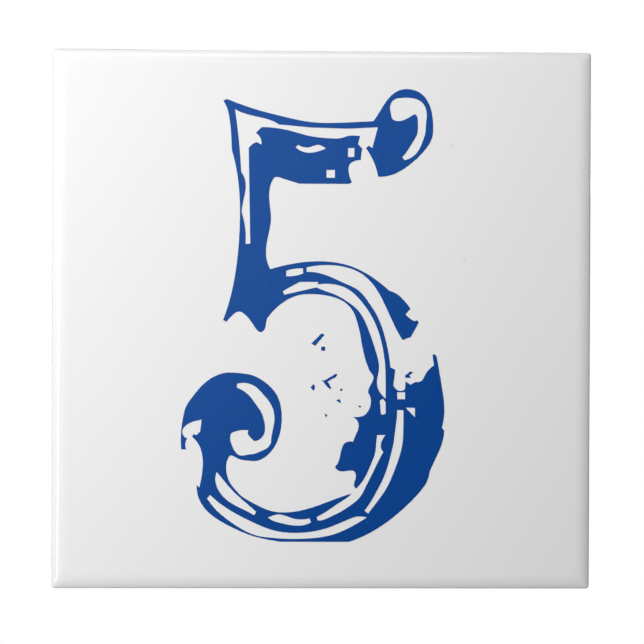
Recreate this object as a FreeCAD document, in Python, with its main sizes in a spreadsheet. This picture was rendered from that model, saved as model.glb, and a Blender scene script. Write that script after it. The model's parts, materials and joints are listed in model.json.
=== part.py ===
import FreeCAD, Part
import math
import os
import Sketcher

# House number plaque: one square glazed wall tile with cushioned edges, and a number five
# printed on its face in worn blue.
#
# The frame is the wall's. X runs to the right, Z runs up and Y runs into the wall. The origin
# is at the middle of the tile's back. All sizes are in millimetres.

SIZES = [
    ("tile_side", 108.0, "width and height of the tile"),
    ("tile_thickness", 6.4, "from the back to the flat of the face"),
    ("corner_radius", 0.7, "rounding of the four corners, seen from the front"),
    ("roll_width", 3.2, "how far in from the edge the face starts to roll down"),
    ("roll_radius", 6.0, "radius of the roll"),
    ("lip_radius", 0.6, "radius that joins the roll to the side"),
    ("back_bevel", 0.5, "bevel round the back"),
    ("key_count", 8, "keying recesses across the back, and as many up it"),
    ("key_rib", 3.0, "width of the rib between two recesses"),
    ("key_rim", 7.5, "width of the plain border round the recesses"),
    ("key_depth", 0.5, "depth of a recess"),
    ("key_draft", 20.0, "slope of a recess's walls, in degrees"),
    ("print_thickness", 0.1, "thickness of the printed colour on the face"),
    ("print_top", 7.75, "from the top of the tile to the number"),
    ("print_bottom", 9.5, "from the bottom of the tile to the number"),
    ("print_shift", 1.8, "how far the number sits left of the middle"),
]

# How far an off-cut reaches outside the tile, so that it takes its edge away cleanly.
OFF_CUT_REACH = 1.0

# From one recess to the next, so that they fill the back inside its border.
KEY_PITCH = "(Sizes.tile_side - 2 * Sizes.key_rim + Sizes.key_rib) / Sizes.key_count"

# The number is drawn in tenths of a millimetre, from its own left and bottom.
DRAWN_UNIT = 0.1
DRAWN_WIDTH = 529
DRAWN_HEIGHT = 910

# A contour is a list of runs, each from one corner to the next. A smooth curve goes through
# the run's points and on to the first point of the next run. A run of one point is straight.

# The top stroke: its upper edge, the ball at its right end, and the slit under the edge.
FLAG = [
    [(83, 884)],
    [(90, 888), (175, 860), (200, 854), (255, 843), (328, 842)],
    [(384, 845), (400, 870), (431, 905), (449, 910), (481, 900), (504, 838), (502, 813),
     (486, 786), (450, 753), (430, 741)],
    [(394, 734), (381, 772)],
    [(369, 791)],
    [(375, 796)],
    [(382, 791)],
    [(393, 833), (371, 832), (335, 830), (291, 831), (255, 832), (226, 835)],
    [(195, 837), (180, 845), (115, 863)],
]

# The slit that runs down inside the left edge of the stem.
STEM_SLIT = [
    [(106, 868), (115, 795)],
    [(119, 742), (128, 717), (123, 682)],
    [(120, 661), (127, 632)],
    [(128, 598)],
    [(138, 598)],
    [(134, 790), (142, 798)],
    [(150, 802)],
    [(159, 797), (159, 806)],
    [(148, 820)],
]

# The solid part of the top stroke, and down the right side of the stem.
STEM_RIGHT = [
    [(160, 832), (190, 830), (217, 825), (250, 816), (300, 810), (320, 811), (333, 815), (345, 816)],
    [(357, 815)],
    [(353, 799)],
    [(362, 790), (360, 782)],
    [(359, 767), (346, 765), (337, 759), (336, 736)],
    [(341, 722)],
    [(335, 719)],
    [(236, 719), (222, 723), (200, 730), (186, 731), (182, 726), (177, 672), (179, 650), (172, 607)],
]

# Over the top of the bowl, and back along the slit inside it.
BOWL_TOP = [
    [(178, 547), (250, 562), (350, 550), (370, 540)],
    [(417, 505), (430, 500), (451, 481)],
    [(460, 469)],
    [(450, 458), (458, 450)],
    [(469, 444)],
    [(473, 446)],
    [(477, 442)],
    [(461, 412)],
    [(444, 406), (430, 431), (364, 537), (273, 555)],
    [(251, 551)],
    [(251, 542), (275, 540), (333, 517), (350, 509), (379, 477), (390, 460), (410, 407), (416, 380)],
    [(420, 351)],
]

# The worn notch at the right, and down the outside of the bowl.
BOWL_RIGHT = [
    [(430, 346)],
    [(426, 315), (430, 309), (437, 304), (444, 304)],
    [(450, 308)],
    [(451, 323)],
    [(461, 316)],
    [(471, 322), (484, 325), (493, 341), (500, 349)],
    [(508, 355)],
    [(505, 376)],
    [(508, 378)],
    [(513, 374), (518, 346), (524, 311), (529, 268)],
    [(524, 230)],
    [(529, 224), (522, 191), (504, 151)],
    [(500, 142), (491, 115), (478, 98), (444, 64), (382, 19)],
]

# Along the foot, and up the left side to the ball.
FOOT = [
    [(338, 0)],
    [(200, 0), (172, 5), (150, 10), (99, 31), (50, 65)],
    [(32, 113)],
    [(38, 109), (44, 144), (38, 191), (32, 201)],
    [(22, 211)],
    [(27, 216)],
    [(31, 213)],
    [(39, 221)],
]

# Round the ball of the lower stroke, and along the inside of the foot.
BALL = [
    [(42, 245), (32, 243), (20, 239), (10, 233), (4, 225)],
    [(10, 208)],
    [(13, 208), (9, 192)],
    [(11, 185)],
    [(1, 185), (2, 232), (4, 245), (11, 272), (20, 286), (51, 321), (90, 339), (121, 338), (136, 336),
     (169, 320), (193, 293), (202, 254), (201, 230), (193, 201), (174, 174), (148, 162), (135, 163),
     (117, 166), (98, 172), (95, 168), (91, 147), (93, 133), (99, 118), (110, 104), (123, 91), (141, 80),
     (181, 62), (226, 60), (300, 82)],
]

# The slit in the bowl's lower right, and up the inside of the bowl to the stem.
BOWL_INSIDE = [
    [(343, 97), (337, 91), (322, 81), (286, 57)],
    [(273, 50)],
    [(275, 43), (282, 43), (300, 50), (319, 59), (335, 69), (361, 91), (368, 103), (390, 148)],
    [(407, 181), (402, 189), (402, 197)],
    [(411, 215)],
    [(394, 215), (392, 198), (390, 179), (382, 157), (372, 134)],
    [(352, 107), (348, 117), (351, 126), (348, 142), (337, 143), (320, 142)],
    [(310, 151), (317, 162), (324, 190), (328, 197), (335, 201)],
    [(346, 201), (350, 212), (357, 234), (353, 245), (347, 250)],
    [(338, 252), (362, 252), (369, 255), (376, 263), (381, 287)],
    [(376, 299), (382, 318), (386, 333), (382, 339)],
    [(376, 350), (359, 418), (351, 449), (346, 461), (328, 481), (310, 490), (273, 497), (234, 495),
     (203, 480)],
]

# The worn foot of the stem, and up its left side.
STEM_LEFT = [
    [(175, 452), (169, 433), (166, 425), (160, 421), (146, 433), (125, 458), (116, 462), (108, 459)],
    [(90, 441)],
    [(84, 445), (99, 492), (111, 558), (117, 650), (113, 727)],
    [(100, 786), (98, 829), (95, 851), (90, 871)],
]

NUMBER_OUTLINE = (
    FLAG + STEM_SLIT + STEM_RIGHT + BOWL_TOP + BOWL_RIGHT + FOOT + BALL + BOWL_INSIDE + STEM_LEFT
)

# Bare places inside the number, where the white face shows.
FLAG_BALL_COMMA = [
    [(447, 767)],
    [(442, 773), (452, 786), (462, 802), (471, 818), (473, 844), (471, 856)],
    [(467, 860), (452, 851), (439, 846), (430, 846), (422, 850), (419, 860), (417, 871), (419, 881),
     (424, 888), (437, 892), (462, 892), (482, 883), (491, 862), (490, 842), (488, 820), (482, 802),
     (475, 787), (464, 775)],
]
FLAG_SQUIGGLE = [
    [(228, 792)],
    [(233, 797), (247, 792), (254, 792), (275, 797), (282, 794)],
    [(289, 790), (277, 785), (255, 781), (243, 783)],
]
FLAG_CHIP = [[(333, 773)], [(333, 791)], [(346, 791)], [(346, 773)]]
FLAG_SQUARE = [[(290, 731)], [(290, 747)], [(307, 747)], [(307, 731)]]
BOWL_BAR = [
    [(210, 544), (225, 548)],
    [(244, 549)],
    [(244, 539), (232, 535), (219, 533)],
    [(210, 533)],
]
BOWL_BAND = [
    [(203, 503)],
    [(237, 522)],
    [(274, 522)],
    [(274, 517), (301, 518), (313, 516), (328, 511), (364, 480), (390, 438), (401, 406), (410, 351),
     (411, 318)],
    [(411, 288), (401, 298), (395, 309), (393, 321), (397, 347), (397, 356), (391, 382), (373, 433),
     (353, 467), (337, 480), (310, 496), (291, 503)],
    [(271, 511)],
    [(207, 496)],
]
BOWL_BAND_END = [[(399, 284)], [(405, 288)], [(411, 281)], [(411, 258)], [(405, 255)], [(401, 258)]]
BOWL_SQUARE = [[(434, 287)], [(434, 301)], [(450, 301)], [(450, 287)]]
BOWL_TRIANGLE = [[(451, 270)], [(470, 270)], [(470, 251)]]
BOWL_RIGHT_BAND = [
    [(434, 265)],
    [(447, 265), (447, 230), (444, 191), (431, 148), (410, 102), (395, 81)],
    [(377, 57)],
    [(369, 63), (382, 81), (393, 101), (406, 126), (422, 177), (427, 199), (431, 231), (433, 246)],
]
BALL_CRESCENT = [
    [(72, 140), (85, 125), (99, 108), (136, 74)],
    [(152, 60)],
    [(148, 53), (117, 69), (99, 79), (83, 93), (74, 107), (70, 119)],
]
BALL_COMMA = [
    [(112, 317), (125, 319), (134, 318), (145, 314), (165, 296), (183, 271), (187, 258), (188, 247),
     (187, 236), (183, 217)],
    [(181, 199), (170, 186), (159, 181), (146, 176), (136, 175), (120, 173), (115, 175), (103, 192),
     (99, 211), (101, 217), (108, 221), (121, 224)],
    [(136, 224), (135, 216), (139, 210)],
    [(147, 202), (161, 208), (167, 217), (168, 236), (161, 260), (150, 276), (139, 291), (128, 301)],
    [(112, 309)],
]
FOOT_CRESCENT = [
    [(53, 87)],
    [(59, 94), (70, 84), (145, 39), (190, 22), (237, 18), (301, 30), (344, 48), (355, 51), (364, 51)],
    [(374, 49), (346, 32), (301, 13), (273, 8), (245, 6), (208, 6), (181, 8), (154, 12), (103, 38),
     (73, 62)],
]
FOOT_SLOT = [
    [(175, 49), (183, 52), (196, 55), (208, 53), (219, 49), (230, 46), (245, 45)],
    [(259, 47)],
    [(262, 39), (250, 34), (217, 34), (199, 38), (186, 42)],
]
BARE_PLACES = [
    FLAG_BALL_COMMA, FLAG_SQUIGGLE, FLAG_CHIP, FLAG_SQUARE, BOWL_BAR, BOWL_BAND, BOWL_BAND_END,
    BOWL_SQUARE, BOWL_TRIANGLE, BOWL_RIGHT_BAND, BALL_CRESCENT, BALL_COMMA, FOOT_CRESCENT, FOOT_SLOT,
]

# Loose flecks of blue inside the bowl and in its notch, where the colour has worn away round them.
FLECKS = [
    [[(261, 398)], [(281, 418)], [(285, 418)], [(287, 415)], [(279, 406)], [(269, 394)]],
    [[(281, 384)], [(281, 392)], [(289, 392)], [(289, 384)]],
    [[(282, 325)], [(288, 324)], [(311, 338)], [(314, 336)], [(310, 331)], [(294, 322)], [(301, 310)],
     [(300, 306)], [(292, 313)], [(285, 322)]],
    [[(260, 310)], [(266, 317)], [(269, 311)], [(266, 303)]],
    [[(319, 303)], [(320, 307)], [(324, 308)], [(323, 304)]],
    [[(312, 284)], [(317, 287)], [(320, 284)], [(321, 278)], [(316, 281)]],
    [[(355, 272)], [(359, 274)], [(362, 272)], [(360, 270)]],
    [[(288, 257)], [(292, 256)], [(294, 254)], [(291, 250)]],
    [[(450, 335)], [(461, 343)], [(466, 341)], [(458, 335)], [(462, 330)], [(450, 330)]],
]

# Ends and centres of a sketch's lines and arcs, and the sketch's own origin and vertical axis.
START, END, CENTRE = 1, 2, 3
ORIGIN = (-1, 1)
VERTICAL_AXIS = -2

# A length that counts as none.
NO_LENGTH = 1e-6


def make_sheet(doc):
    """Puts the driving sizes in a spreadsheet, each with its alias and its meaning."""
    sheet = doc.addObject("Spreadsheet::Sheet", "Sizes")
    for row, (alias, value, meaning) in enumerate(SIZES, start=1):
        sheet.set(f"A{row}", alias)
        sheet.set(f"B{row}", str(value))
        sheet.set(f"C{row}", meaning)
        sheet.setAlias(f"B{row}", alias)
    doc.recompute()
    return sheet


def origin_feature(body, role):
    """The body's own origin plane or axis of that role."""
    return next(part for part in body.Origin.OriginFeatures if part.Role == role)


def new_sketch(body, name, plane):
    """An empty sketch on one of the body's own origin planes."""
    sketch = body.newObject("Sketcher::SketchObject", name)
    sketch.AttachmentSupport = [(origin_feature(body, plane), "")]
    sketch.MapMode = "FlatFace"
    return sketch


def point(across, up):
    """A point of a sketch."""
    return FreeCAD.Vector(across, up, 0)


def constrain(sketch, kind, *elements):
    """Adds a geometric constraint to the sketch."""
    sketch.addConstraint(Sketcher.Constraint(kind, *elements))


def dimension(sketch, name, kind, elements, expression):
    """Adds a named dimension to the sketch and ties it to the sheet."""
    value = float(sketch.evalExpression(expression))
    index = sketch.addConstraint(Sketcher.Constraint(kind, *elements, value))
    sketch.renameConstraint(index, name)
    sketch.setExpression(f"Constraints.{name}", expression)


def fixed_dimension(sketch, kind, elements, value):
    """Adds a dimension that no size drives."""
    sketch.addConstraint(Sketcher.Constraint(kind, *elements, value))


def add_polygon(sketch, corners):
    """Adds a closed ring of straight lines and returns their numbers."""
    lines = []
    for start, end in zip(corners, corners[1:] + corners[:1]):
        lines.append(sketch.addGeometry(Part.LineSegment(start, end)))
    for line, following in zip(lines, lines[1:] + lines[:1]):
        constrain(sketch, "Coincident", line, END, following, START)
    return lines


def add_rectangle(sketch, low, high):
    """Adds an upright rectangle and returns its bottom, right, top and left lines."""
    corners = [low, point(high.x, low.y), high, point(low.x, high.y)]
    bottom, right, top, left = add_polygon(sketch, corners)
    for line in (bottom, top):
        constrain(sketch, "Horizontal", line)
    for line in (left, right):
        constrain(sketch, "Vertical", line)
    return bottom, right, top, left


def draw_square(sketch, side):
    """The tile's square outline, about the middle of the back."""
    half = side / 2
    bottom, right, _, _ = add_rectangle(sketch, point(-half, -half), point(half, half))
    constrain(sketch, "Symmetric", bottom, START, right, END, *ORIGIN)
    constrain(sketch, "Equal", bottom, right)
    dimension(sketch, "side", "DistanceX", (bottom, START, bottom, END), "Sizes.tile_side")


def draw_roll_off_cut(sketch, sheet):
    """What is missing in front of the top edge: the roll, the lip and the side above it.

    The sketch looks along X, so its two directions are the wall's Y and Z.
    """
    face = -sheet.tile_thickness
    edge = sheet.tile_side / 2
    roll, lip = sheet.roll_radius, sheet.lip_radius
    roll_start = edge - sheet.roll_width
    centre_gap = math.sqrt((roll - lip) ** 2 - (sheet.roll_width - lip) ** 2)
    roll_centre = point(face + roll, roll_start)
    lip_centre = point(roll_centre.x - centre_gap, edge - lip)
    meeting = math.pi - math.atan2(sheet.roll_width - lip, centre_gap)
    axis = FreeCAD.Vector(0, 0, 1)
    roll_arc = sketch.addGeometry(
        Part.ArcOfCircle(Part.Circle(roll_centre, axis, roll), meeting, math.pi)
    )
    lip_arc = sketch.addGeometry(
        Part.ArcOfCircle(Part.Circle(lip_centre, axis, lip), math.pi / 2, meeting)
    )
    outside = [
        point(face, roll_start),
        point(face - OFF_CUT_REACH, roll_start),
        point(face - OFF_CUT_REACH, edge + OFF_CUT_REACH),
        point(lip_centre.x, edge + OFF_CUT_REACH),
        point(lip_centre.x, edge),
    ]
    ahead, across, beyond, down = [
        sketch.addGeometry(Part.LineSegment(start, end)) for start, end in zip(outside, outside[1:])
    ]
    constrain(sketch, "Coincident", roll_arc, END, ahead, START)
    constrain(sketch, "Coincident", ahead, END, across, START)
    constrain(sketch, "Coincident", across, END, beyond, START)
    constrain(sketch, "Coincident", beyond, END, down, START)
    constrain(sketch, "Coincident", down, END, lip_arc, START)
    constrain(sketch, "Tangent", lip_arc, END, roll_arc, START)
    for line in (ahead, beyond):
        constrain(sketch, "Horizontal", line)
    for line in (across, down):
        constrain(sketch, "Vertical", line)
    constrain(sketch, "Horizontal", roll_arc, END, roll_arc, CENTRE)
    constrain(sketch, "Vertical", lip_arc, START, lip_arc, CENTRE)
    dimension(sketch, "face", "DistanceX", (roll_arc, END, *ORIGIN), "Sizes.tile_thickness")
    start = "Sizes.tile_side / 2 - Sizes.roll_width"
    dimension(sketch, "roll_start", "DistanceY", (*ORIGIN, roll_arc, END), start)
    dimension(sketch, "roll", "Radius", (roll_arc,), "Sizes.roll_radius")
    dimension(sketch, "lip", "Radius", (lip_arc,), "Sizes.lip_radius")
    dimension(sketch, "edge", "DistanceY", (*ORIGIN, lip_arc, START), "Sizes.tile_side / 2")
    fixed_dimension(sketch, "DistanceX", (ahead, END, ahead, START), OFF_CUT_REACH)
    fixed_dimension(sketch, "DistanceY", (down, END, down, START), OFF_CUT_REACH)


def draw_bevel_off_cut(sketch, sheet):
    """What is missing behind the top edge: a small bevel."""
    edge = sheet.tile_side / 2
    bevel = sheet.back_bevel
    slope, up, over, back, inward = add_polygon(sketch, [
        point(0, edge - bevel),
        point(-bevel, edge),
        point(-bevel, edge + OFF_CUT_REACH),
        point(OFF_CUT_REACH, edge + OFF_CUT_REACH),
        point(OFF_CUT_REACH, edge - bevel),
    ])
    for line in (over, inward):
        constrain(sketch, "Horizontal", line)
    for line in (up, back):
        constrain(sketch, "Vertical", line)
    constrain(sketch, "PointOnObject", slope, START, VERTICAL_AXIS)
    start = "Sizes.tile_side / 2 - Sizes.back_bevel"
    dimension(sketch, "bevel_start", "DistanceY", (*ORIGIN, slope, START), start)
    dimension(sketch, "bevel_side", "DistanceY", (*ORIGIN, slope, END), "Sizes.tile_side / 2")
    dimension(sketch, "bevel_depth", "DistanceX", (slope, END, *ORIGIN), "Sizes.back_bevel")
    fixed_dimension(sketch, "DistanceY", (up, START, up, END), OFF_CUT_REACH)
    fixed_dimension(sketch, "DistanceX", (inward, END, inward, START), OFF_CUT_REACH)


def draw_first_key(sketch, sheet):
    """The recess at the lower left of the back, from which the others are patterned."""
    mouth = f"{KEY_PITCH} - Sizes.key_rib"
    width = float(sketch.evalExpression(mouth))
    low = -sheet.tile_side / 2 + sheet.key_rim
    bottom, right, _, _ = add_rectangle(sketch, point(low, low), point(low + width, low + width))
    reach = "Sizes.tile_side / 2 - Sizes.key_rim"
    dimension(sketch, "left", "DistanceX", (bottom, START, *ORIGIN), reach)
    dimension(sketch, "low", "DistanceY", (bottom, START, *ORIGIN), reach)
    dimension(sketch, "mouth", "DistanceX", (bottom, START, bottom, END), mouth)
    constrain(sketch, "Equal", bottom, right)


def edges_along(shape, direction):
    """Names of the shape's straight edges that run along the direction."""
    names = []
    for number, edge in enumerate(shape.Edges, start=1):
        run = edge.Vertexes[-1].Point - edge.Vertexes[0].Point
        if run.cross(direction).Length < NO_LENGTH < run.Length:
            names.append(f"Edge{number}")
    return names


def add_slab(doc, body, sheet):
    """The square slab, with its four corners rounded as seen from the front."""
    outline = new_sketch(body, "tile_outline", "XZ_Plane")
    draw_square(outline, sheet.tile_side)
    slab = body.newObject("PartDesign::Pad", "slab")
    slab.Profile = outline
    slab.setExpression("Length", "Sizes.tile_thickness")
    doc.recompute()
    corners = body.newObject("PartDesign::Fillet", "corners")
    corners.Base = (slab, edges_along(slab.Shape, FreeCAD.Vector(0, 1, 0)))
    corners.setExpression("Radius", "Sizes.corner_radius")
    doc.recompute()


def shape_edges(doc, body, sheet):
    """Rolls the front and bevels the back of the top edge, and so of all four.

    The rolls meet in a mitre at each corner.
    """
    section = new_sketch(body, "edge_section", "YZ_Plane")
    draw_roll_off_cut(section, sheet)
    draw_bevel_off_cut(section, sheet)
    top_edge = body.newObject("PartDesign::Pocket", "top_edge")
    top_edge.Profile = section
    top_edge.SideType = "Symmetric"
    top_edge.setExpression("Length", f"Sizes.tile_side + {2 * OFF_CUT_REACH}")
    doc.recompute()
    four_edges = body.newObject("PartDesign::PolarPattern", "four_edges")
    four_edges.Originals = [top_edge]
    four_edges.Axis = (origin_feature(body, "Y_Axis"), [""])
    four_edges.Angle = 360
    four_edges.Occurrences = 4
    body.Tip = four_edges
    doc.recompute()


def key_back(doc, body, sheet):
    """Presses the grid of shallow recesses, with drafted walls, into the back."""
    outline = new_sketch(body, "key_outline", "XZ_Plane")
    draw_first_key(outline, sheet)
    first_key = body.newObject("PartDesign::Pocket", "first_key")
    first_key.Profile = outline
    first_key.Reversed = True
    first_key.setExpression("Length", "Sizes.key_depth")
    first_key.setExpression("TaperAngle", "-Sizes.key_draft")
    doc.recompute()
    keys = body.newObject("PartDesign::LinearPattern", "keys")
    keys.Originals = [first_key]
    for suffix, direction in (("", "H_Axis"), ("2", "V_Axis")):
        setattr(keys, f"Direction{suffix}", (outline, [direction]))
        setattr(keys, f"Mode{suffix}", "Spacing")
        keys.setExpression(f"Offset{suffix}", KEY_PITCH)
        keys.setExpression(f"Occurrences{suffix}", "Sizes.key_count")
    body.Tip = keys
    doc.recompute()


def make_tile(doc, sheet):
    """The pressed and glazed tile, as one piece."""
    body = doc.addObject("PartDesign::Body", "tile")
    body.Label = "tile"
    add_slab(doc, body, sheet)
    shape_edges(doc, body, sheet)
    key_back(doc, body, sheet)
    return body


def draw_contour(sketch, runs):
    """Draws one closed contour of the number, in its own units."""
    for run, following in zip(runs, runs[1:] + runs[:1]):
        through = [point(across, up) * DRAWN_UNIT for across, up in run + following[:1]]
        if len(through) == 2:
            sketch.addGeometry(Part.LineSegment(*through))
        else:
            curve = Part.BSplineCurve()
            curve.interpolate(through)
            sketch.addGeometry(curve)


def make_numeral(doc):
    """The printed number: a thin layer of colour that lies on the flat of the face."""
    drawing = doc.addObject("Sketcher::SketchObject", "number_drawing")
    for contour in [NUMBER_OUTLINE] + BARE_PLACES + FLECKS:
        draw_contour(drawing, contour)
    doc.recompute()

    sized = doc.addObject("Part::Scale", "number_at_size")
    sized.Base = drawing
    sized.Uniform = True
    scale = f"(Sizes.tile_side - Sizes.print_top - Sizes.print_bottom) / {DRAWN_HEIGHT * DRAWN_UNIT}"
    sized.setExpression("UniformScale", scale)
    doc.recompute()

    layer = doc.addObject("Part::Extrusion", "numeral")
    layer.Label = "numeral"
    layer.Base = sized
    layer.DirMode = "Custom"
    layer.Dir = FreeCAD.Vector(0, 0, 1)
    layer.Solid = True
    layer.FaceMakerClass = "Part::FaceMakerBullseye"
    layer.setExpression("LengthFwd", "Sizes.print_thickness")
    layer.Placement = FreeCAD.Placement(FreeCAD.Vector(), FreeCAD.Rotation(FreeCAD.Vector(1, 0, 0), 90))
    half_width = f"{DRAWN_WIDTH * DRAWN_UNIT / 2} * number_at_size.UniformScale"
    layer.setExpression("Placement.Base.x", f"-Sizes.print_shift - {half_width}")
    layer.setExpression("Placement.Base.y", "-Sizes.tile_thickness")
    layer.setExpression("Placement.Base.z", "Sizes.print_bottom - Sizes.tile_side / 2")
    doc.recompute()
    return layer


def check_document(doc, pieces):
    """Stops the build if any object failed or any piece has no sound solid."""
    for item in doc.Objects:
        if "Invalid" in item.State or "Error" in item.State:
            raise RuntimeError(f"{item.Label} failed: {item.State}")
    for piece in pieces:
        shape = piece.Shape
        if shape.isNull() or not shape.isValid() or not shape.Solids:
            raise RuntimeError(f"{piece.Label} has no sound solid")


def main():
    """Builds the plaque's pieces and writes one file for each."""
    doc = FreeCAD.newDocument("house_number_plaque")
    sheet = make_sheet(doc)
    pieces = [make_tile(doc, sheet), make_numeral(doc)]
    doc.recompute()
    check_document(doc, pieces)
    os.makedirs("parts", exist_ok=True)
    for piece in pieces:
        piece.Shape.exportStep(f"parts/{piece.Label}.step")
        box = piece.Shape.BoundBox
        print(f"{piece.Label}: {len(piece.Shape.Solids)} solids, {piece.Shape.Volume:.2f} mm3, {box}")


main()
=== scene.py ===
"""Looks of the house number plaque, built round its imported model.

The plaque hangs on a wall and keeps the wall's frame, in metres: X to the right as the number
is read, Y into the wall, Z up, and the origin at the middle of the tile's back.
"""

import json
import logging
import math
from dataclasses import dataclass
from enum import Enum

import bmesh
import bpy
from mathutils import Matrix, Vector

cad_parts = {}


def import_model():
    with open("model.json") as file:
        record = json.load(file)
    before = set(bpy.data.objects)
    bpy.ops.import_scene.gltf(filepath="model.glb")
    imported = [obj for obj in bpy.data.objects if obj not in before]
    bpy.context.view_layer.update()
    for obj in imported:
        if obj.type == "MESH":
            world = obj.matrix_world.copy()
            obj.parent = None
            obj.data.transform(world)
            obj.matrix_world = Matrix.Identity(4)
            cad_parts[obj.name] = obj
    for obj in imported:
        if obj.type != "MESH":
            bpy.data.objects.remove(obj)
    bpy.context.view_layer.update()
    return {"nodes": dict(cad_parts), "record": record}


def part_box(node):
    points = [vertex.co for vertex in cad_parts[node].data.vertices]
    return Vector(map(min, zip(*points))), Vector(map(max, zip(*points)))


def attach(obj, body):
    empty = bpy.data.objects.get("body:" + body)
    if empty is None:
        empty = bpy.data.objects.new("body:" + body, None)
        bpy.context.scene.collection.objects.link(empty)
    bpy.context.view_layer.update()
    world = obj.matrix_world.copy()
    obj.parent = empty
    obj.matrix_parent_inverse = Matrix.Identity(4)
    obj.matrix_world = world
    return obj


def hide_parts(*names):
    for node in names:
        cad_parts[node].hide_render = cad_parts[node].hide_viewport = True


LOG = logging.getLogger("house_number_plaque")

MM = 0.001
BODY = "root"
GLASS_IOR = 1.5
WHITE = (1.0, 1.0, 1.0, 1.0)

# A noise texture's values lie about its middle, and most of them between its low and its high.
NOISE_LOW, NOISE_MIDDLE, NOISE_HIGH = 0.35, 0.5, 0.65

# What a node's input takes: the output of another node, or a value.
Feed = bpy.types.NodeSocket | float | int | tuple | bpy.types.Material | None


class Sheen(Enum):
    """How rough each surface of the plaque is."""

    GLAZE = 0.07
    PRINT = 0.09
    BISQUE = 0.88
    FLOOR = 0.6


class Bench:
    """Adds nodes to one tree, and links or sets what feeds them."""

    def __init__(self, tree: bpy.types.NodeTree) -> None:
        """Takes the tree to work on.

        Args:
            tree: a geometry, material or world node tree.
        """
        self.tree = tree

    def add(self, kind: str, feeds: dict[str | int, Feed] | None = None,
            **settings: object) -> bpy.types.Node:
        """Adds one node.

        Args:
            kind: the node's type.
            feeds: what goes into its inputs, by name or by number.
            settings: its other properties.

        Returns:
            The node.
        """
        node = self.tree.nodes.new(kind)
        for name, value in settings.items():
            setattr(node, name, value)
        for name, feed in (feeds or {}).items():
            if isinstance(feed, bpy.types.NodeSocket):
                self.tree.links.new(feed, node.inputs[name])
            else:
                node.inputs[name].default_value = feed
        return node

    def calc(self, operation: str, *values: Feed) -> bpy.types.NodeSocket:
        """Adds one sum.

        Args:
            operation: the Math node's operation.
            values: its inputs in order.

        Returns:
            The result.
        """
        node = self.add("ShaderNodeMath", dict(enumerate(values)), operation=operation)
        return node.outputs[0]

    def blend(self, share: Feed, low: Feed, high: Feed, colour: bool = False) -> bpy.types.NodeSocket:
        """Mixes two numbers or two colours.

        Args:
            share: how much of the second shows, from 0 to 1.
            low: the first.
            high: the second.
            colour: whether they are colours.

        Returns:
            The mix.
        """
        # The Mix node keeps its two numbers from input 2 on, and its two colours from input 6 on.
        kind, first = ("RGBA", 6) if colour else ("FLOAT", 2)
        feeds = {0: share, first: low, first + 1: high}
        node = self.add("ShaderNodeMix", feeds, data_type=kind)
        return node.outputs[2 if colour else 0]

    def ramp(self, value: Feed, start: Feed, end: Feed) -> bpy.types.NodeSocket:
        """Turns a number into a mask that rises smoothly from 0 at the start to 1 at the end."""
        feeds = {"Value": value, "From Min": start, "From Max": end}
        return self.add("ShaderNodeMapRange", feeds, interpolation_type="SMOOTHSTEP").outputs[0]

    def noise(self, place: Feed, scale: Feed, detail: float = 2.0) -> bpy.types.NodeSocket:
        """Adds a noise texture and returns its value, with its middle at 0.5."""
        feeds = {"Vector": place, "Scale": scale, "Detail": detail}
        return self.add("ShaderNodeTexNoise", feeds).outputs[0]

    def use(self, group: bpy.types.NodeTree, feeds: dict[str, Feed]) -> bpy.types.Node:
        """Places a node group in the tree."""
        return self.add(group.bl_idname.replace("Tree", "Group"), feeds, node_tree=group)


class Group(Bench):
    """A node group with named inputs and outputs."""

    def __init__(self, name: str, kind: str, inputs: dict[str, str], outputs: dict[str, str]) -> None:
        """Makes the group and its sockets.

        Args:
            name: the group's name.
            kind: the type of tree, ShaderNodeTree or GeometryNodeTree.
            inputs: each input's name and type, such as Float.
            outputs: each output's name and type.
        """
        super().__init__(bpy.data.node_groups.new(name, kind))
        self.sockets: dict[str, str] = {}
        for side, sockets in (("INPUT", inputs), ("OUTPUT", outputs)):
            for label, form in sockets.items():
                made = self.tree.interface.new_socket(
                    name=label, in_out=side, socket_type=f"NodeSocket{form}")
                self.sockets[label] = made.identifier
        self.given = self.add("NodeGroupInput").outputs
        self.result = self.add("NodeGroupOutput").inputs

    def put(self, name: str, feed: bpy.types.NodeSocket) -> None:
        """Links the feed to the group's output of that name."""
        self.tree.links.new(feed, self.result[name])


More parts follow.
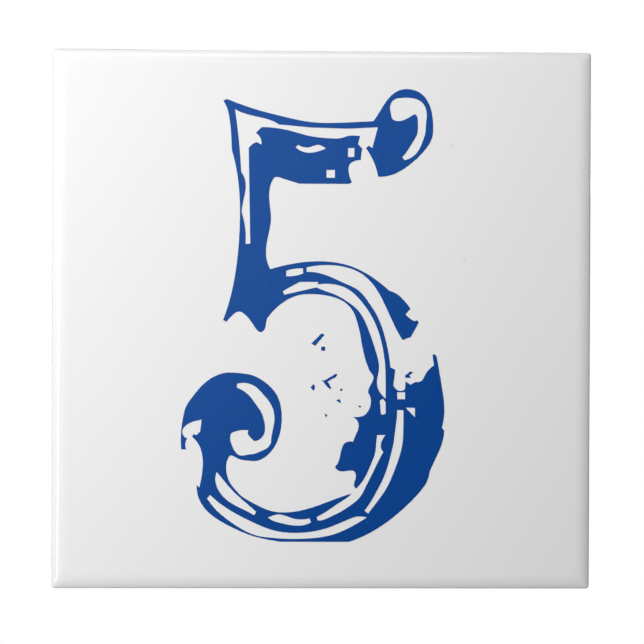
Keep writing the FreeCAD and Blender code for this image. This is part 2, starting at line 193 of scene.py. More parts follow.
@dataclass(frozen=True)
class TileSection:
    """The section of the tile's rim and of one recess, as stations that are swept round a square.

    A station is a vector: how far in from the outline it lies, how far along Y, and the radius
    of its four corners as seen from the front.
    """

    side: float
    thickness: float
    corner: float = 0.7 * MM
    roll_width: float = 3.2 * MM
    roll_slope: float = math.radians(32.0)
    roll_power: float = 1.4
    roll_corner: float = 1.5 * MM
    roll_steps: int = 18
    lip_radius: float = 0.6 * MM
    lip_steps: int = 8
    bevel: float = 0.5 * MM
    recesses: int = 8
    rib: float = 3.0 * MM
    rim: float = 7.5 * MM
    recess_depth: float = 0.5 * MM
    recess_draft: float = math.radians(20.0)
    recess_corner: float = 0.9 * MM
    soft: float = 0.12 * MM
    soft_steps: int = 3

    @property
    def pitch(self) -> float:
        """From one recess to the next."""
        return (self.side - 2 * self.rim + self.rib) / self.recesses

    @property
    def mouth(self) -> float:
        """Width of a recess at the back."""
        return self.pitch - self.rib

    def soften(self, corners: list[Vector], reach: float) -> list[Vector]:
        """Rounds every inner corner of a section, and holds the straight parts flat beside it.

        Args:
            corners: the stations of the sharp section.
            reach: how far each rounding goes along the two straights.

        Returns:
            The stations of the soft section.
        """
        stations, hold = [corners[0]], 2 * reach
        for before, here, after in zip(corners, corners[1:], corners[2:]):
            back, on = (before - here).normalized(), (after - here).normalized()
            stations.append(here + hold * back)
            for step in range(self.soft_steps + 1):
                t = step / self.soft_steps
                stations.append(here + reach * ((1 - t) ** 2 * back + t ** 2 * on))
            stations.append(here + hold * on)
        return stations + [corners[-1]]

    def roll(self) -> list[Vector]:
        """The rolled front edge, worked out from the flat of the face outwards.

        Returns:
            The stations from the lip in to the flat.
        """
        start = self.lip_radius * (1 - math.sin(self.roll_slope))
        step = (self.roll_width - start) / self.roll_steps
        depth, found = -self.thickness, []
        for number in range(self.roll_steps + 1):
            inset = self.roll_width - number * step
            share = inset / self.roll_width
            corner = self.corner + (self.roll_corner - self.corner) * share
            found.append(Vector((inset, depth, corner)))
            middle = (number + 0.5) / self.roll_steps
            depth += step * math.tan(self.roll_slope * middle ** self.roll_power)
        return found[::-1]

    def lip(self, roll_end: Vector) -> list[Vector]:
        """The small radius between the side and the roll.

        Args:
            roll_end: the roll's station nearest the side.

        Returns:
            The stations from the side up to the roll, without the roll's own.
        """
        centre = roll_end.y + self.lip_radius * math.cos(self.roll_slope)
        stations = []
        for number in range(self.lip_steps):
            share = number / self.lip_steps
            tilt = math.pi / 2 + share * (self.roll_slope - math.pi / 2)
            inset = self.lip_radius * (1 - math.sin(tilt))
            stations.append(Vector((inset, centre - self.lip_radius * math.cos(tilt), self.corner)))
        return stations

    def rim_stations(self) -> list[Vector]:
        """The section of the whole rim, and of the face inside it.

        Returns:
            The stations from the field of recesses, round the bevel, side, lip and roll, to the
            middle of the face.
        """
        roll = self.roll()
        lip = self.lip(roll[0])
        behind = self.soften([
            Vector((self.rim - self.rib / 2, 0, 0)),
            Vector((self.bevel, 0, self.corner - self.bevel)),
            Vector((0, -self.bevel, self.corner)),
            Vector((0, lip[0].y + self.soft, self.corner)),
        ], self.soft)
        face = [
            Vector((self.roll_width + self.soft, -self.thickness, self.roll_corner)),
            Vector((self.side / 4, -self.thickness, self.roll_corner)),
            Vector((self.side / 2, -self.thickness, 0)),
        ]
        return behind + lip + roll + face

    def recess_stations(self) -> list[Vector]:
        """The section of a recess.

        Returns:
            The stations from the middle of the ribs round it to the middle of its floor.
        """
        inset = self.recess_depth * math.tan(self.recess_draft)
        return self.soften([
            Vector((-self.rib / 2, 0, 0)),
            Vector((0, 0, self.recess_corner)),
            Vector((inset, -self.recess_depth, self.recess_corner - inset)),
            Vector((self.mouth / 2, -self.recess_depth, 0)),
        ], self.soft)


def square_sweep() -> bpy.types.NodeTree:
    """Makes the group that sweeps a section round a square with rounded corners.

    The square lies in the plane of X and Z. Each of its four quarters holds one corner's arc
    and then the side up to the next corner.

    Returns:
        The node group.
    """
    group = Group("square_sweep", "GeometryNodeTree", {
        "Sections": "Geometry", "First station": "Int", "Stations": "Int",
        "Half side": "Float", "Corner steps": "Int", "Side steps": "Int",
    }, {"Mesh": "Geometry"})
    calc, given = group.calc, group.given
    quarter = calc("ADD", given["Corner steps"], given["Side steps"])
    around = calc("MULTIPLY", quarter, 4)
    row = calc("ADD", around, 1)
    grid = group.add("GeometryNodeMeshGrid", {"Vertices X": given["Stations"], "Vertices Y": row})

    # Half is added before each FLOOR, so that rounding can't take a whole number one too low.
    index = calc("ADD", group.add("GeometryNodeInputIndex").outputs[0], 0.5)
    station = calc("FLOOR", calc("DIVIDE", index, row))
    along = calc("SUBTRACT", calc("SUBTRACT", index, 0.5), calc("MULTIPLY", station, row))
    along = calc("MULTIPLY", along, calc("LESS_THAN", along, calc("SUBTRACT", around, 0.5)))
    turn = calc("FLOOR", calc("DIVIDE", calc("ADD", along, 0.5), quarter))
    within = calc("SUBTRACT", along, calc("MULTIPLY", turn, quarter))
    arc = calc("DIVIDE", calc("MINIMUM", within, given["Corner steps"]), given["Corner steps"])
    past = calc("MAXIMUM", calc("SUBTRACT", within, given["Corner steps"]), 0)
    straight = calc("DIVIDE", past, given["Side steps"])

    sample = group.add("GeometryNodeSampleIndex", {
        "Geometry": given["Sections"],
        "Value": group.add("GeometryNodeInputPosition").outputs[0],
        "Index": calc("ADD", given["First station"], station),
    }, data_type="FLOAT_VECTOR", domain="POINT")
    split = group.add("ShaderNodeSeparateXYZ", {0: sample.outputs[0]}).outputs
    inset, depth, radius = split
    reach = calc("SUBTRACT", calc("SUBTRACT", given["Half side"], inset), radius)

    angle = calc("MULTIPLY", calc("ADD", turn, arc), math.pi / 2)
    diagonal = calc("MULTIPLY", calc("ADD", turn, 0.5), math.pi / 2)
    run = calc("MULTIPLY", calc("MULTIPLY", straight, reach), 2)
    corner = calc("MULTIPLY", reach, math.sqrt(2))
    across = calc("ADD", calc("MULTIPLY", corner, calc("COSINE", diagonal)),
                  calc("MULTIPLY", radius, calc("COSINE", angle)))
    up = calc("ADD", calc("MULTIPLY", corner, calc("SINE", diagonal)),
              calc("MULTIPLY", radius, calc("SINE", angle)))
    across = calc("SUBTRACT", across, calc("MULTIPLY", run, calc("SINE", angle)))
    up = calc("ADD", up, calc("MULTIPLY", run, calc("COSINE", angle)))
    place = group.add("ShaderNodeCombineXYZ", {0: across, 1: depth, 2: up}).outputs[0]
    moved = group.add("GeometryNodeSetPosition", {"Geometry": grid.outputs[0], "Position": place})
    group.put("Mesh", moved.outputs[0])
    return group.tree


@dataclass
class PressedTile:
    """The pressed, glazed tile, with its keyed back."""

    section: TileSection
    corner_steps: int = 8
    recess_corner_steps: int = 3
    weld: float = 0.004 * MM
    name: str = "glazed_tile"

    def tree(self) -> Group:
        """Makes the tree that sweeps the rim, lays out the recesses and welds them together.

        Returns:
            The group, with its sockets by name.
        """
        group = Group("pressed_tile", "GeometryNodeTree", {
            "Sections": "Geometry", "Rim stations": "Int", "Recess stations": "Int",
            "Half side": "Float", "Corner steps": "Int", "Half mouth": "Float",
            "Recess corner steps": "Int", "Recesses": "Int", "Pitch": "Float",
            "Weld": "Float", "Finish": "Material",
        }, {"Tile": "Geometry"})
        given, sweep = group.given, square_sweep()
        rim = group.use(sweep, {
            "Sections": given["Sections"], "Stations": given["Rim stations"],
            "Half side": given["Half side"], "Corner steps": given["Corner steps"],
            "Side steps": given["Recesses"],
        })
        recess = group.use(sweep, {
            "Sections": given["Sections"], "First station": given["Rim stations"],
            "Stations": given["Recess stations"], "Half side": given["Half mouth"],
            "Corner steps": given["Recess corner steps"], "Side steps": 1,
        })
        spread = group.calc("MULTIPLY", group.calc("SUBTRACT", given["Recesses"], 1), given["Pitch"])
        layout = group.add("GeometryNodeMeshGrid", {
            "Size X": spread, "Size Y": spread,
            "Vertices X": given["Recesses"], "Vertices Y": given["Recesses"],
        })
        upright = group.add("GeometryNodeTransform", {
            "Geometry": layout.outputs[0], "Rotation": (math.pi / 2, 0, 0)})
        copies = group.add("GeometryNodeInstanceOnPoints", {
            "Points": upright.outputs[0], "Instance": recess.outputs[0]})
        joined = group.add("GeometryNodeJoinGeometry")
        for part in (rim, copies):
            group.tree.links.new(part.outputs[0], joined.inputs[0])
        solid = group.add("GeometryNodeRealizeInstances", {0: joined.outputs[0]})
        welded = group.add("GeometryNodeMergeByDistance", {
            "Geometry": solid.outputs[0], "Distance": given["Weld"]})
        smooth = group.add("GeometryNodeSetShadeSmooth", {"Geometry": welded.outputs[0]})
        finished = group.add("GeometryNodeSetMaterial", {
            "Geometry": smooth.outputs[0], "Material": given["Finish"]})
        group.put("Tile", finished.outputs[0])
        return group

    def build(self, finish: bpy.types.Material) -> bpy.types.Object:
        """Builds the tile as one closed mesh.

        Args:
            finish: the material of its glaze and its bare clay.

        Returns:
            The tile, which replaces its node.
        """
        section = self.section
        rim, recess = section.rim_stations(), section.recess_stations()
        mesh = bpy.data.meshes.new(self.name)
        mesh.from_pydata(rim + recess, [], [])
        tile = bpy.data.objects.new(self.name, mesh)
        bpy.context.scene.collection.objects.link(tile)
        group = self.tree()
        modifier = tile.modifiers.new("pressed_tile", "NODES")
        modifier.node_group = group.tree
        values = {
            "Rim stations": len(rim), "Recess stations": len(recess),
            "Half side": section.side / 2, "Corner steps": self.corner_steps,
            "Half mouth": section.mouth / 2, "Recess corner steps": self.recess_corner_steps,
            "Recesses": section.recesses, "Pitch": section.pitch,
            "Weld": self.weld, "Finish": finish,
        }
        for name, value in values.items():
            modifier[group.sockets[name]] = value
        made_plain(tile)
        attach(tile, BODY)
        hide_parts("tile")
        return tile


def made_plain(piece: bpy.types.Object) -> None:
    """Turns a piece and its live nodes into a plain mesh whose faces point outwards.

    Args:
        piece: the object whose nodes make its mesh.
    """
    depsgraph = bpy.context.evaluated_depsgraph_get()
    mesh = bpy.data.meshes.new_from_object(piece.evaluated_get(depsgraph))
    piece.modifiers.clear()
    piece.data = mesh
    work = bmesh.new()
    work.from_mesh(mesh)
    bmesh.ops.recalc_face_normals(work, faces=work.faces)
    work.to_mesh(mesh)
    work.free()


def surface_ripple() -> bpy.types.NodeTree:
    """Makes the group for the slow and fine unevenness of a fired surface.

    Returns:
        The group, with a height about 0 and a patchy value from 0 to 1.
    """
    group = Group("surface_ripple", "ShaderNodeTree", {
        "Place": "Vector", "Slow scale": "Float", "Fine scale": "Float", "Fine share": "Float",
    }, {"Height": "Float", "Patches": "Float"})
    given = group.given
    slow = group.noise(given["Place"], given["Slow scale"], detail=1.0)
    fine = group.noise(given["Place"], given["Fine scale"], detail=2.0)
    height = group.blend(given["Fine share"], slow, fine)
    group.put("Height", group.calc("SUBTRACT", height, NOISE_MIDDLE))
    group.put("Patches", group.ramp(slow, NOISE_LOW, NOISE_HIGH))
    return group.tree


def fine_specks(least: float = 0.4, core: float = 0.4) -> bpy.types.NodeTree:
    """Makes the group for small round specks in a fired surface.

    Args:
        least: the smallest speck, as a share of the radius.
        core: how much of each speck is full, as a share of its own size.

    Returns:
        The group, with a mask that is 1 in a speck.
    """
    group = Group("fine_specks", "ShaderNodeTree", {
        "Place": "Vector", "Cells": "Float", "Share": "Float", "Radius": "Float",
    }, {"Mask": "Float"})
    given = group.given
    cells = group.add("ShaderNodeTexVoronoi", {"Vector": given["Place"], "Scale": given["Cells"]})
    pick = group.add("ShaderNodeSeparateColor", {0: cells.outputs["Color"]})
    chosen = group.calc("LESS_THAN", pick.outputs[0], given["Share"])
    size = group.calc("MULTIPLY", given["Radius"], group.calc("ADD", pick.outputs[1], least))
    spot = group.ramp(cells.outputs["Distance"], size, group.calc("MULTIPLY", size, core))
    group.put("Mask", group.calc("MULTIPLY", chosen, spot))
    return group.tree


def tone_drift() -> bpy.types.NodeTree:
    """Makes the group that lets a colour drift a little lighter and darker over a surface.

    Returns:
        The group, with the drifting colour.
    """
    group = Group("tone_drift", "ShaderNodeTree", {
        "Colour": "Color", "Place": "Vector", "Scale": "Float", "Amount": "Float",
    }, {"Colour": "Color"})
    given = group.given
    value = group.noise(given["Place"], given["Scale"], detail=3.0)
    drift = group.calc("SUBTRACT", value, NOISE_MIDDLE)
    factor = group.calc("ADD", group.calc("MULTIPLY", drift, given["Amount"]), 1.0)
    scaled = group.add("ShaderNodeVectorMath", {0: given["Colour"], 3: factor}, operation="SCALE")
    group.put("Colour", scaled.outputs[0])
    return group.tree


@dataclass(frozen=True)
class Ripple:
    """How a fired surface rises and falls: a slow and a fine noise, and how deep they go."""

    slow: float
    fine: float
    fine_share: float
    depth: float


@dataclass(frozen=True)
class Specks:
    """How many cells to the metre may hold a speck, how many do, and how much they fill."""

    cells: float
    share: float
    radius: float


@dataclass(frozen=True)
class Drift:
    """How fast and how far a colour drifts."""

    scale: float
    amount: float


GLAZE_RIPPLE = Ripple(slow=140.0, fine=620.0, fine_share=0.25, depth=0.012)


@dataclass(frozen=True)
class SharedEffects:
    """The effects that more than one finish uses, each built once as a node group."""

    ripple: bpy.types.NodeTree
    specks: bpy.types.NodeTree
    drift: bpy.types.NodeTree

    @classmethod
    def built(cls) -> "SharedEffects":
        """Builds the groups."""
        return cls(surface_ripple(), fine_specks(), tone_drift())

    def rippled(self, bench: Bench, place: Feed,
                ripple: Ripple) -> tuple[bpy.types.NodeSocket, bpy.types.NodeSocket]:
        """Places the ripple in a material.

        Args:
            bench: the material's bench.
            place: where on the piece.
            ripple: how it rises and falls.

        Returns:
            The height in millimetres, and a patchy value from 0 to 1.
        """
        node = bench.use(self.ripple, {
            "Place": place, "Slow scale": ripple.slow, "Fine scale": ripple.fine,
            "Fine share": ripple.fine_share,
        })
        return bench.calc("MULTIPLY", node.outputs["Height"], ripple.depth), node.outputs["Patches"]

    def speckled(self, bench: Bench, place: Feed, specks: Specks) -> bpy.types.NodeSocket:
        """Places the specks in a material and returns their mask."""
        return bench.use(self.specks, {
            "Place": place, "Cells": specks.cells, "Share": specks.share, "Radius": specks.radius,
        }).outputs[0]

    def drifting(self, bench: Bench, place: Feed, colour: Feed, drift: Drift) -> bpy.types.NodeSocket:
        """Places the drift in a material and returns the drifting colour."""
        return bench.use(self.drift, {
            "Colour": colour, "Place": place, "Scale": drift.scale, "Amount": drift.amount,
        }).outputs[0]


def new_material(name: str) -> tuple[bpy.types.Material, Bench, bpy.types.Node]:
    """Makes an empty material.

    Args:
        name: the finish's name.

    Returns:
        The material, a bench on its tree, and its shader.
    """
    material = bpy.data.materials.new(name)
    material.use_nodes = True
    bench = Bench(material.node_tree)
    return material, bench, material.node_tree.nodes["Principled BSDF"]


def fired_finish(bench: Bench, shader: bpy.types.Node, colour: Feed, rough: Feed, height: Feed) -> None:
    """Feeds a fired surface's colour, roughness and height to its shader.

    Args:
        bench: the material's bench.
        shader: its Principled BSDF.
        colour: the base colour.
        rough: the roughness.
        height: the height in millimetres.
    """
    bump = bench.add("ShaderNodeBump", {"Strength": 1.0, "Distance": MM, "Height": height})
    links = bench.tree.links
    links.new(colour, shader.inputs["Base Color"])
    links.new(rough, shader.inputs["Roughness"])
    links.new(bump.outputs[0], shader.inputs["Normal"])
    shader.inputs["IOR"].default_value = GLASS_IOR


def opaque(colour: list[float]) -> tuple[float, float, float, float]:
    """The colour with full cover."""
    return (*colour, 1.0)


@dataclass(frozen=True)
class FaceSpeck:
    """One faint speck in the glaze of the face."""

    across: float
    up: float
    strength: float
    radius: float = 0.6 * MM


FACE_SPECKS = (
    FaceSpeck(26.0 * MM, 34.8 * MM, strength=0.20),
    FaceSpeck(28.5 * MM, 11.9 * MM, strength=0.20),
    FaceSpeck(-0.5 * MM, 47.9 * MM, strength=0.13),
    FaceSpeck(-28.6 * MM, 16.5 * MM, strength=0.08),
)


@dataclass(frozen=True)
class GlazedClay:
    """White glaze over a pale pressed clay body, which is bare at the back.

    The glaze runs over the edge and stops on the sides in a soft uneven line.
    """

    effects: SharedEffects
    glaze: tuple[float, ...]
    half_side: float
    glaze_drift: Drift = Drift(scale=28.0, amount=0.012)
    glaze_patches: float = 0.02
    # Thinner glaze and painted shade: the grey that darkens the outermost edge and the sides.
    thin_glaze_and_shade: tuple[float, ...] = (0.73, 0.725, 0.71, 1.0)
    thin_and_shaded_width: float = 0.35 * MM
    thin_and_shaded_share: float = 0.75
    face_speck: tuple[float, ...] = (0.42, 0.41, 0.39, 1.0)
    glaze_line: float = -2.2 * MM
    line_scale: float = 90.0
    line_wander: float = 1.6 * MM
    line_soft: float = 0.09 * MM
    glaze_coat: float = 0.09
    clay: tuple[float, ...] = (0.72, 0.665, 0.58, 1.0)
    clay_drift: Drift = Drift(scale=75.0, amount=0.22)
    clay_grain: Ripple = Ripple(slow=1500.0, fine=5200.0, fine_share=0.45, depth=0.075)
    clay_patches: float = 0.08
    clay_specks: Specks = Specks(cells=900.0, share=0.16, radius=0.32)
    clay_speck: tuple[float, ...] = (0.42, 0.35, 0.27, 1.0)
    speck_share: float = 0.5
    speck_pit: float = 0.03
    dust: tuple[float, ...] = (0.83, 0.81, 0.77, 1.0)
    dust_share: float = 0.55
    dust_starts: float = -0.2 * MM
    dust_full: float = -0.04 * MM

    def glaze_mask(self, bench: Bench, place: Feed, along: Feed) -> bpy.types.NodeSocket:
        """The mask that is 1 where the glaze covers the clay.

        Args:
            bench: the material's bench.
            place: where on the tile.
            along: the place's Y.

        Returns:
            The mask.
        """
        value = bench.noise(place, self.line_scale, detail=3.0)
        wander = bench.calc("SUBTRACT", value, NOISE_MIDDLE)
        line = bench.calc("MULTIPLY_ADD", wander, self.line_wander, self.glaze_line)
        below = bench.calc("SUBTRACT", along, line)
        return bench.ramp(below, self.line_soft, -self.line_soft)

    def glaze_colour(self, bench: Bench, place: Feed, across: Feed, up: Feed) -> bpy.types.NodeSocket:
        """The white of the glaze, darker over the edge where the glaze is thinner and where painted shade
        greys the outline, with the faint specks of the face.

        Args:
            bench: the material's bench.
            place: where on the tile.
            across: the place's X.
            up: the place's Z.

        Returns:
            The colour.
        """
        from_middle = bench.calc("MAXIMUM", bench.calc("ABSOLUTE", across), bench.calc("ABSOLUTE", up))
        # Partly thinner glaze, partly painted shade: the outermost edge and the sides are greyed.
        thin_and_shaded = bench.ramp(from_middle, self.half_side - self.thin_and_shaded_width, self.half_side)
        white = self.effects.drifting(bench, place, self.glaze, self.glaze_drift)
        share = bench.calc("MULTIPLY", thin_and_shaded, self.thin_and_shaded_share)
        white = bench.blend(share, white, self.thin_glaze_and_shade, colour=True)
        flat = bench.add("ShaderNodeCombineXYZ", {"X": across, "Z": up}).outputs[0]
        for speck in FACE_SPECKS:
            away = bench.add("ShaderNodeVectorMath", {0: flat, 1: (speck.across, 0, speck.up)},
                             operation="DISTANCE")
            spot = bench.ramp(away.outputs["Value"], speck.radius, 0.0)
            share = bench.calc("MULTIPLY", spot, speck.strength)
            white = bench.blend(share, white, self.face_speck, colour=True)
        return white

    def clay_colour(self, bench: Bench, place: Feed, specks: Feed, dusty: Feed) -> bpy.types.NodeSocket:
        """The pale clay with its specks, and the paler dust that its ribs carry.

        Args:
            bench: the material's bench.
            place: where on the tile.
            specks: the mask of the specks.
            dusty: the mask of the dust.

        Returns:
            The colour.
        """
        clay = self.effects.drifting(bench, place, self.clay, self.clay_drift)
        share = bench.calc("MULTIPLY", specks, self.speck_share)
        clay = bench.blend(share, clay, self.clay_speck, colour=True)
        share = bench.calc("MULTIPLY", dusty, self.dust_share)
        return bench.blend(share, clay, self.dust, colour=True)

    def material(self) -> bpy.types.Material:
        """Makes the material of the whole tile.

        Returns:
            The material, which is named after its slot.
        """
        material, bench, shader = new_material("white_glaze")
        place = bench.add("ShaderNodeTexCoord").outputs["Object"]
        across, along, up = bench.add("ShaderNodeSeparateXYZ", {0: place}).outputs
        mask = self.glaze_mask(bench, place, along)
        smooth, patches = self.effects.rippled(bench, place, GLAZE_RIPPLE)
        grain, grain_patches = self.effects.rippled(bench, place, self.clay_grain)
        specks = self.effects.speckled(bench, place, self.clay_specks)
        on_ribs = bench.ramp(along, self.dust_starts, self.dust_full)
        dusty = bench.calc("MULTIPLY", on_ribs, grain_patches)

        glaze = self.glaze_colour(bench, place, across, up)
        clay = self.clay_colour(bench, place, specks, dusty)
        gloss = bench.calc("MULTIPLY_ADD", patches, self.glaze_patches, Sheen.GLAZE.value)
        matt = bench.calc("MULTIPLY_ADD", grain_patches, self.clay_patches, Sheen.BISQUE.value)
        pitted = bench.calc("MULTIPLY_ADD", specks, -self.speck_pit, grain)
        height = bench.calc("MULTIPLY_ADD", mask, self.glaze_coat, bench.blend(mask, pitted, smooth))
        fired_finish(bench, shader, bench.blend(mask, clay, glaze, colour=True),
                     bench.blend(mask, matt, gloss), height)
        return material


@dataclass(frozen=True)
class CobaltPrint:
    """Cobalt blue colour printed on the glaze and fired to the same gloss.

    It is darker towards the lower right: painted shade that deepens the fall-off of the sheen there.
    """

    effects: SharedEffects
    blue: tuple[float, ...]
    # Painted shade: the darker blue that the print turns to at the lower right.
    painted_shade_blue: tuple[float, ...] = (0.0025, 0.0585, 0.2815, 1.0)
    painted_shade_starts: float = -15.0 * MM
    painted_shade_full: float = 42.0 * MM
    drift: Drift = Drift(scale=60.0, amount=0.10)
    pinholes: Specks = Specks(cells=1400.0, share=0.05, radius=0.3)
    pinhole: tuple[float, ...] = (0.03, 0.13, 0.40, 1.0)
    pinhole_share: float = 0.35
    patches: float = 0.03

    def material(self) -> bpy.types.Material:
        """Makes the material of the number.

        Returns:
            The material, which is named after its slot.
        """
        material, bench, shader = new_material("blue_print")
        place = bench.add("ShaderNodeTexCoord").outputs["Object"]
        across, _, up = bench.add("ShaderNodeSeparateXYZ", {0: place}).outputs
        # Painted shade: the blue darkens along the diagonal towards the lower right, following the
        # sheen's fall-off.
        slant = bench.calc("SUBTRACT", across, up)
        painted_shade = bench.ramp(slant, self.painted_shade_starts, self.painted_shade_full)
        ink_and_painted_shade = bench.blend(painted_shade, self.blue, self.painted_shade_blue, colour=True)
        ink_and_painted_shade = self.effects.drifting(bench, place, ink_and_painted_shade, self.drift)
        pinholes = self.effects.speckled(bench, place, self.pinholes)
        share = bench.calc("MULTIPLY", pinholes, self.pinhole_share)
        colour = bench.blend(share, ink_and_painted_shade, self.pinhole, colour=True)
        height, patches = self.effects.rippled(bench, place, GLAZE_RIPPLE)
        rough = bench.calc("MULTIPLY_ADD", patches, self.patches, Sheen.PRINT.value)
        fired_finish(bench, shader, colour, rough, height)
        return material


@dataclass
class PrintedNumber:
    """The number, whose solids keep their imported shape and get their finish."""

    node: bpy.types.Object

    def dress(self, finish: bpy.types.Material) -> bpy.types.Object:
        """Gives the number its finish.

        Args:
            finish: the printed colour.

        Returns:
            The number.
        """
        for slot in self.node.material_slots:
            slot.material = finish
        return self.node


class Reach(Enum):
    """Which of a surface's answers a soft light takes part in."""

    COLOUR = "colour"
    GLOSS = "gloss"
    BOTH = "both"


@dataclass(frozen=True)
class SoftLight:
    """One rectangular soft light."""

    name: str
    place: tuple[float, float, float]
    aim: tuple[float, float, float]
    width: float
    height: float
    power: float
    reach: Reach = Reach.BOTH
    colour: tuple[float, float, float] = (0.988, 0.988, 1.0)

    def build(self) -> None:
        """Places the light and turns it to what it is aimed at."""
        lamp = bpy.data.lights.new(self.name, "AREA")
        lamp.shape, lamp.size, lamp.size_y = "RECTANGLE", self.width, self.height
        lamp.energy, lamp.color = self.power, self.colour
        light = bpy.data.objects.new(self.name, lamp)
        light.location = self.place
        way = Vector(self.aim) - Vector(self.place)
        light.rotation_euler = way.to_track_quat("-Z", "Y").to_euler()
        light.visible_glossy = self.reach is not Reach.COLOUR
        light.visible_diffuse = self.reach is not Reach.GLOSS
        bpy.context.scene.collection.objects.link(light)


# The key is aimed past the tile, so that its light falls off over the face from the upper left.
# It gives no gloss, because the sheen in the surround stands for its broad reflection. The strips
# give nothing but gloss, which draws the bright lines along the rolled edges.
LIGHTS = (
    SoftLight("key", place=(-0.408, -0.768, 0.233), aim=(-0.806, 0, 0.51),
              width=0.34, height=0.34, power=15.7, reach=Reach.COLOUR),
    SoftLight("left_strip", place=(-0.394, -0.372, 0.0), aim=(-0.053, 0, 0),
              width=0.087, height=0.50, power=0.48, reach=Reach.GLOSS),
    SoftLight("top_strip", place=(-0.06, -0.345, 0.421), aim=(-0.06, 0, 0.053),
              width=0.30, height=0.15, power=0.34, reach=Reach.GLOSS),
    SoftLight("back_fill", place=(0.16, 0.62, 0.30), aim=(0, 0, 0),
              width=0.50, height=0.50, power=4.6),
    SoftLight("left_fill", place=(-0.50, 0.25, 0.0), aim=(-0.054, 0, 0),
              width=0.40, height=0.40, power=1.5, reach=Reach.COLOUR),
)


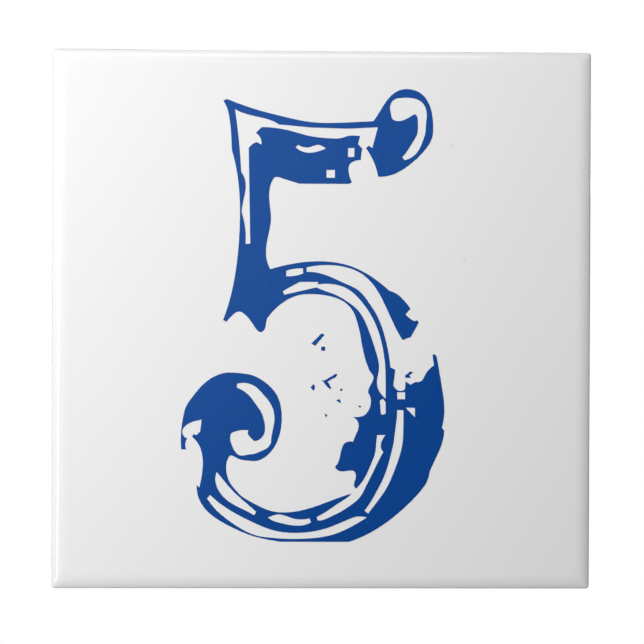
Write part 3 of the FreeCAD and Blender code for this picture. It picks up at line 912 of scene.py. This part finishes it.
@dataclass
class Studio:
    """The plain white studio: a soft light at the upper left, and a pale sheen from there."""

    surround: float = 0.16
    gloss_surround: float = 0.05
    sheen: float = 1.0
    sheen_from: tuple[float, float, float] = (-0.389, -0.874, 0.292)
    sheen_inner: float = math.radians(14)
    sheen_outer: float = math.radians(34)
    floor_drop: float = 0.60
    floor_radius: float = 1.2
    floor_colour: tuple[float, ...] = (0.86, 0.86, 0.86, 1.0)
    floor_lift: float = 0.8
    floor_segments: int = 96
    fade_starts: float = 0.1
    fade_ends: float = 0.97
    lens: float = 100.0
    sensor: float = 36.0
    clip: tuple[float, float] = (0.01, 10.0)
    azimuth: float = math.radians(-1.173)
    elevation: float = math.radians(0.248)
    roll: float = math.radians(0.239)
    distance: float = 0.3595
    aim: tuple[float, float, float] = (0.02 * MM, -5.1 * MM, -0.48 * MM)

    def white_surround(self) -> None:
        """Makes the background white, dims its light on the tile, and adds the sheen to gloss."""
        world = bpy.data.worlds.new("white_surround")
        world.use_nodes = True
        bpy.context.scene.world = world
        bench = Bench(world.node_tree)
        nodes = world.node_tree.nodes
        rays = bench.add("ShaderNodeLightPath").outputs
        way = bench.add("ShaderNodeTexCoord").outputs["Generated"]
        towards = bench.add("ShaderNodeVectorMath", {0: way, 1: self.sheen_from}, operation="DOT_PRODUCT")
        angle = bench.calc("ARCCOSINE", towards.outputs["Value"])
        soft = bench.add("ShaderNodeMapRange", {
            "Value": angle, "From Min": self.sheen_outer, "From Max": self.sheen_inner,
            "To Max": self.sheen})
        gloss = bench.calc("ADD", soft.outputs[0], self.gloss_surround)
        strength = bench.blend(rays["Is Glossy Ray"], self.surround, gloss)
        dim = bench.add("ShaderNodeBackground", {"Color": WHITE, "Strength": strength})
        seen = bench.add("ShaderNodeBackground", {"Color": WHITE, "Strength": 1.0})
        both = bench.add("ShaderNodeMixShader", {
            0: rays["Is Camera Ray"], 1: dim.outputs[0], 2: seen.outputs[0]})
        world.node_tree.links.new(both.outputs[0], nodes["World Output"].inputs["Surface"])

    def floor(self) -> None:
        """Lays a plain pale floor well below the tile, which fades into the white towards its rim."""
        mesh = bpy.data.meshes.new("studio_floor")
        work = bmesh.new()
        bmesh.ops.create_circle(work, cap_ends=True, segments=self.floor_segments,
                                radius=self.floor_radius,
                                matrix=Matrix.Translation((0, 0, -self.floor_drop)))
        work.to_mesh(mesh)
        work.free()
        disc = bpy.data.objects.new("studio_floor", mesh)
        bpy.context.scene.collection.objects.link(disc)
        material, bench, shader = new_material("studio_floor")
        shader.inputs["Base Color"].default_value = self.floor_colour
        shader.inputs["Roughness"].default_value = Sheen.FLOOR.value
        place = bench.add("ShaderNodeTexCoord").outputs["Object"]
        spoke = bench.add("ShaderNodeVectorMath", {0: place, 1: (1, 1, 0)}, operation="MULTIPLY")
        length = bench.add("ShaderNodeVectorMath", {0: spoke.outputs[0]}, operation="LENGTH")
        fade = bench.ramp(length.outputs["Value"], self.fade_starts * self.floor_radius,
                          self.fade_ends * self.floor_radius)
        camera_ray = bench.add("ShaderNodeLightPath").outputs["Is Camera Ray"]
        fade = bench.calc("MULTIPLY", bench.blend(fade, self.floor_lift, 1.0), camera_ray)
        white = bench.add("ShaderNodeEmission", {"Color": WHITE, "Strength": 1.0})
        both = bench.add("ShaderNodeMixShader", {0: fade, 1: shader.outputs[0], 2: white.outputs[0]})
        output = material.node_tree.nodes["Material Output"]
        material.node_tree.links.new(both.outputs[0], output.inputs["Surface"])
        mesh.materials.append(material)
        disc.visible_diffuse = False

    def camera(self) -> None:
        """Sets the camera where the photograph was taken from."""
        back = Vector((math.sin(self.azimuth) * math.cos(self.elevation),
                       -math.cos(self.azimuth) * math.cos(self.elevation),
                       math.sin(self.elevation)))
        level = Vector((math.cos(self.azimuth), math.sin(self.azimuth), 0))
        upright = back.cross(level)
        right = level * math.cos(self.roll) + upright * math.sin(self.roll)
        upright = back.cross(right)
        turn = Matrix((right, upright, back)).transposed().to_4x4()
        data = bpy.data.cameras.new("camera")
        data.lens, data.sensor_width = self.lens, self.sensor
        data.clip_start, data.clip_end = self.clip
        camera = bpy.data.objects.new("camera", data)
        camera.matrix_world = Matrix.Translation(Vector(self.aim) + back * self.distance) @ turn
        bpy.context.scene.collection.objects.link(camera)
        bpy.context.scene.camera = camera

    def build(self) -> None:
        """Builds the whole studio."""
        for light in LIGHTS:
            light.build()
        self.white_surround()
        self.floor()
        self.camera()
        bpy.context.scene.view_settings.view_transform = "Standard"


def report(piece: bpy.types.Object) -> None:
    """Logs a piece's name and how many triangles it has."""
    triangles = sum(len(face.vertices) - 2 for face in piece.data.polygons)
    LOG.info("%s: %d triangles", piece.name, triangles)


def main() -> None:
    """Builds the plaque's looks and its studio."""
    logging.basicConfig(level=logging.INFO, format="%(message)s")
    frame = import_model()
    low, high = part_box("tile")
    colours = {row["slot"]: opaque(row["base_color"]) for row in frame["record"]["materials"]}
    effects = SharedEffects.built()

    tile = PressedTile(TileSection(side=high.x - low.x, thickness=high.y - low.y))
    glazed = GlazedClay(effects, colours["white_glaze"], half_side=high.x)
    report(tile.build(glazed.material()))
    number = PrintedNumber(frame["nodes"]["numeral"])
    report(number.dress(CobaltPrint(effects, colours["blue_print"]).material()))
    Studio().build()


if __name__ == "__main__":
    main()
